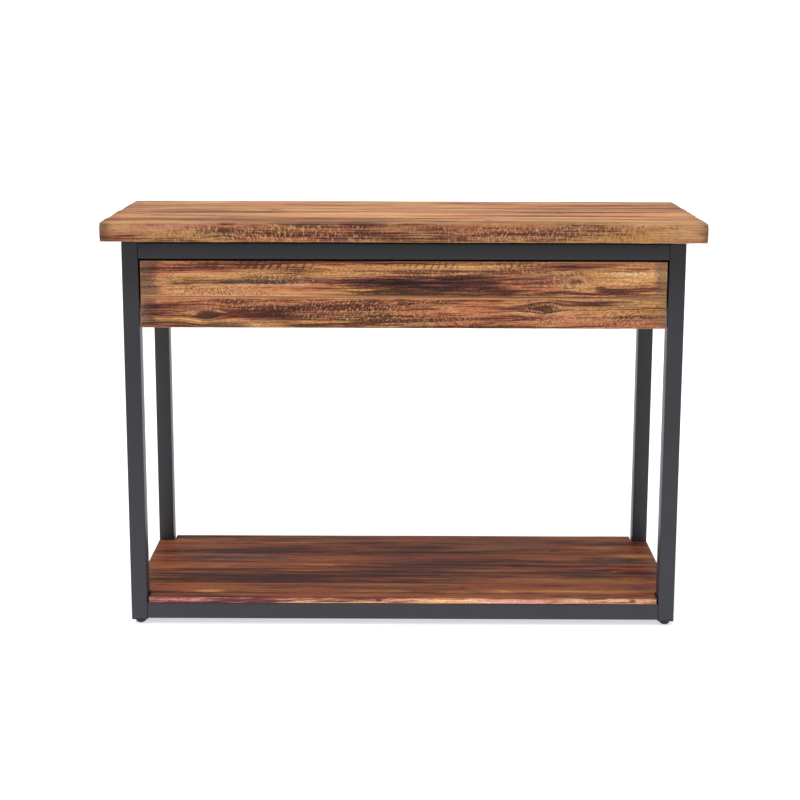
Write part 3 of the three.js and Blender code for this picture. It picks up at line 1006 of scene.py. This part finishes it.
class TABLE_OT_slab(bpy.types.Operator):
    """Six edge-glued boards with staggered, worn ends"""

    bl_idname = "console_table.slab"
    bl_label = "Slab"

    def execute(self, context):
        wood = context.scene.table_wood
        stain = Stain(wood.slab_tint)
        for number, features in SLAB_FEATURES.items():
            node = f"tabletop_board_{number}"
            seams = row_seams(number, len(SLAB_FEATURES))
            stagger = 0 if number == FULL_BOARD else wood.end_stagger
            seed = board_seed(number)
            piece = plank(f"slab_board_{number}", node, wood.slab_round, seams, seed, stagger, wood.nibble)
            varied = stain.varied(random.Random(seed), 0.10)
            material = board_wood(node, varied, seed, features, wrap=number == 1, sawn=0.22)
            dress(piece, material, "frame", "slab_wood", node)
        return {"FINISHED"}


class TABLE_OT_shelf(bpy.types.Operator):
    """Seven thin boards, notched round the legs"""

    bl_idname = "console_table.shelf"
    bl_label = "Shelf"

    def execute(self, context):
        wood = context.scene.table_wood
        stain = Stain(wood.shelf_tint, contrast=1.2, redness=0.03, rough=0.5)
        for number, features in SHELF_FEATURES.items():
            node = f"shelf_board_{number}"
            seams = row_seams(number, len(SHELF_FEATURES))
            seed = board_seed(20 + number)
            notched = {2: LOW, 7: HIGH}.get(number)
            piece = plank(f"shelf_plank_{number}", node, wood.thin_round, seams, seed, notched=notched)
            varied = stain.varied(random.Random(seed), 0.12)
            material = board_wood(node, varied, seed, features, wrap=number == 1, sawn=0.45)
            dress(piece, material, "frame", "shelf_wood", node)
        return {"FINISHED"}


class TABLE_OT_drawer_front(bpy.types.Operator):
    """Two rough-sawn boards glued edge to edge"""

    bl_idname = "console_table.drawer_front"
    bl_label = "Drawer Front"

    def execute(self, context):
        wood = context.scene.table_wood
        stain = Stain(wood.front_tint, contrast=1.15)
        for number, level, seam in ((41, "lower", HIGH), (42, "upper", LOW)):
            node = f"drawer_front_{level}_board"
            seed = board_seed(number)
            piece = plank(f"front_{level}_plank", node, wood.thin_round, [seam], seed, nibble=KNOCK)
            material = board_wood(node, stain, seed, FRONT_FEATURES[level], sawn=0.8)
            dress(piece, material, "drawer", "drawer_front_wood", node)
        return {"FINISHED"}


class TABLE_OT_aprons(bpy.types.Operator):
    """Boards that close the sides and the rear, and the battens that carry the slides"""

    bl_idname = "console_table.aprons"
    bl_label = "Aprons"

    def execute(self, context):
        wood = context.scene.table_wood
        stain = Stain([channel * 0.8 for channel in wood.front_tint], contrast=1.1)
        pale = Stain((0.52, 0.33, 0.19), contrast=0.6, rough=0.62, swing=0.6)
        for number, place in enumerate((*SIDES, "rear")):
            node = f"{place}_apron"
            seed = board_seed(50 + number)
            piece = plank(f"apron_{place}", node, wood.thin_round, seed=seed, nibble=KNOCK)
            features = {
                "knots": [(150 + 40 * number, 60, 5)],
                "saw_marks": [(150, 60, 140, 50, 5.2, 0.6, 0.45)],
            }
            dress(piece, board_wood(node, stain, seed, features), "frame", "apron_wood", node)
        for number, side in enumerate(SIDES):
            node = f"{side}_runner_batten"
            piece = eased_copy(f"batten_{side}", node, 0.6 * MM)
            material = board_wood(node, pale, board_seed(60 + number), dirt=0.1, sawn=0.15)
            dress(piece, material, "frame", "box_wood", node)
        return {"FINISHED"}


class TABLE_OT_drawer_box(bpy.types.Operator):
    """Sides, front, back and bottom of the drawer's box"""

    bl_idname = "console_table.drawer_box"
    bl_label = "Drawer Box"

    def execute(self, context):
        pale = Stain((0.54, 0.35, 0.21), contrast=0.6, rough=0.62, swing=0.6)
        veneer = Stain((0.60, 0.42, 0.27), contrast=0.5, rough=0.66, swing=0.45)
        nodes = ["drawer_left_side", "drawer_right_side", "drawer_box_front", "drawer_box_back"]
        for number, node in enumerate(nodes):
            piece = eased_copy(node.replace("drawer", "panel"), node, 0.7 * MM)
            material = board_wood(node, pale, board_seed(70 + number), dirt=0.1, sawn=0.1)
            dress(piece, material, "drawer", "box_wood", node)
        piece = eased_copy("panel_bottom", "drawer_bottom", 0)
        material = board_wood("drawer_bottom", veneer, board_seed(80), dirt=0.0, rub=0.0, sawn=0.0)
        dress(piece, material, "drawer", "plywood", "drawer_bottom")
        return {"FINISHED"}


class TABLE_OT_screws(bpy.types.Operator):
    """Pan-head screws that hold the drawer's front on from inside its box"""

    bl_idname = "console_table.screws"
    bl_label = "Drawer Screws"

    def execute(self, context):
        low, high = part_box("drawer_box_front")
        plate = zinc("zinc_screw_plate")
        for number, (across, up) in enumerate(SCREW_PLACES, 1):
            x, z = low.x + (high.x - low.x) * across, low.z + (high.z - low.z) * up
            piece = pan_head(f"screw_{number}", Vector((x, high.y + HAIR, z)), SCREW_RADIUS, SCREW_HEIGHT)
            dress(piece, plate, "drawer", "zinc_steel")
        return {"FINISHED"}


class TABLE_OT_steel_frame(bpy.types.Operator):
    """Legs and rails of painted square tube"""

    bl_idname = "console_table.steel_frame"
    bl_label = "Steel Frame"

    def execute(self, context):
        steel = context.scene.table_steel
        paint = powder_coat("charcoal_powder_coat", steel.paint, steel.gloss)
        runs = [(f"{corner}_leg", 2) for corner in CORNERS]
        for level in ("top", "bottom"):
            runs += [(f"{level}_{place}_rail", 0) for place in ("front", "rear")]
            runs += [(f"{level}_{place}_rail", 1) for place in SIDES]
        for node, axis in runs:
            dress(tube(f"tube_{node}", node, axis), paint, "frame", "painted_steel", node)
        return {"FINISHED"}


class TABLE_OT_hardware(bpy.types.Operator):
    """Bolts, leg plugs, levelling feet and drawer slides"""

    bl_idname = "console_table.hardware"
    bl_label = "Hardware"

    def execute(self, context):
        finishes = {
            "bolt_steel": black_steel("blackened_bolt"),
            "black_plastic": moulded_plastic("black_nylon"),
            "zinc_steel": zinc("zinc_plate"),
        }
        for part in frame["record"]["subparts"]:
            if part["material_slot"] in finishes:
                for place in frame["nodes"][part["node"]].material_slots:
                    place.material = finishes[part["material_slot"]]
        return {"FINISHED"}


def light_room(world, sky):
    """White all round, with the half of the room in front of the table dimmer than the rest."""
    s = Shader(world)
    ahead = s.split(s.node("ShaderNodeTexCoord", output="Generated"))[1]
    white = {"Color": (1, 1, 1)}
    strength = s.step(ahead, -0.85, 0.0) * (0.8 * sky) + 0.2 * sky
    room = s.node("ShaderNodeBackground", inputs={**white, "Strength": strength})
    backdrop = s.node("ShaderNodeBackground", inputs={**white, "Strength": 1.05})
    seen = s.node("ShaderNodeLightPath", output="Is Camera Ray")
    either = s.node("ShaderNodeMixShader", inputs={0: seen, 1: room, 2: backdrop})
    s.node("ShaderNodeOutputWorld", inputs={"Surface": either}, output=None)


class TABLE_OT_stage(bpy.types.Operator):
    """Pale floor, soft light and the camera"""

    bl_idname = "console_table.stage"
    bl_label = "Stage"

    def execute(self, context):
        stage = context.scene.table_stage
        bpy.ops.object.select_all(action="DESELECT")
        bpy.ops.mesh.primitive_plane_add(size=FLOOR_SIDE)
        floor = context.object
        floor.name = "studio_floor"
        pale = Shader(bpy.data.materials.new("pale_floor"))
        sockets = {
            "Base Color": (0.62, 0.62, 0.62),
            "Roughness": 0.9,
            "Emission Color": (1, 1, 1),
            "Emission Strength": 0.62,
            "Specular IOR Level": 0.0,
        }
        floor.data.materials.append(pale.finish(sockets))

        world = bpy.data.worlds.new("studio")
        context.scene.world = world
        light_room(world, stage.sky)

        bpy.ops.object.light_add(type="SUN", rotation=SUN_TURN)
        sun = context.object
        sun.name = "overhead_softbox"
        sun.data.energy = stage.overhead
        sun.data.angle = SUN_WIDTH

        bpy.ops.object.camera_add(location=(stage.aside, -stage.distance, stage.height))
        camera = context.object
        camera.name = "camera"
        level = Matrix.Rotation(math.radians(90) - stage.dip, 3, "X")
        aim = Matrix.Rotation(stage.aim, 3, "Z") @ level @ Matrix.Rotation(stage.roll, 3, "Z")
        camera.rotation_euler = aim.to_euler()
        camera.data.lens = stage.lens
        camera.data.sensor_width = 36
        camera.data.shift_y = stage.shift
        camera.data.clip_end = 200
        context.scene.camera = camera
        context.scene.view_settings.view_transform = "Standard"
        return {"FINISHED"}


STEPS = (
    TABLE_OT_slab,
    TABLE_OT_shelf,
    TABLE_OT_drawer_front,
    TABLE_OT_aprons,
    TABLE_OT_drawer_box,
    TABLE_OT_screws,
    TABLE_OT_steel_frame,
    TABLE_OT_hardware,
    TABLE_OT_stage,
)
SETTINGS = {"table_wood": TABLE_PG_wood, "table_steel": TABLE_PG_steel, "table_stage": TABLE_PG_stage}


class TABLE_PT_panel(bpy.types.Panel):
    """Lists the settings and the steps"""

    bl_idname = "TABLE_PT_panel"
    bl_label = "Console Table"
    bl_space_type = "VIEW_3D"
    bl_region_type = "UI"
    bl_category = "Console Table"

    def draw(self, context):
        for setting, group in SETTINGS.items():
            box = self.layout.box()
            for key in group.__annotations__:
                box.prop(getattr(context.scene, setting), key)
        column = self.layout.column(align=True)
        for step in STEPS:
            column.operator(step.bl_idname)


CLASSES = (*SETTINGS.values(), *STEPS, TABLE_PT_panel)


def register():
    for cls in CLASSES:
        bpy.utils.register_class(cls)
    for setting, group in SETTINGS.items():
        setattr(bpy.types.Scene, setting, PointerProperty(type=group))


def unregister():
    for setting in SETTINGS:
        delattr(bpy.types.Scene, setting)
    for cls in reversed(CLASSES):
        bpy.utils.unregister_class(cls)


def main():
    register()
    for step in STEPS:
        group, name = step.bl_idname.split(".")
        getattr(getattr(bpy.ops, group), name)()


if __name__ == "__main__":
    main()
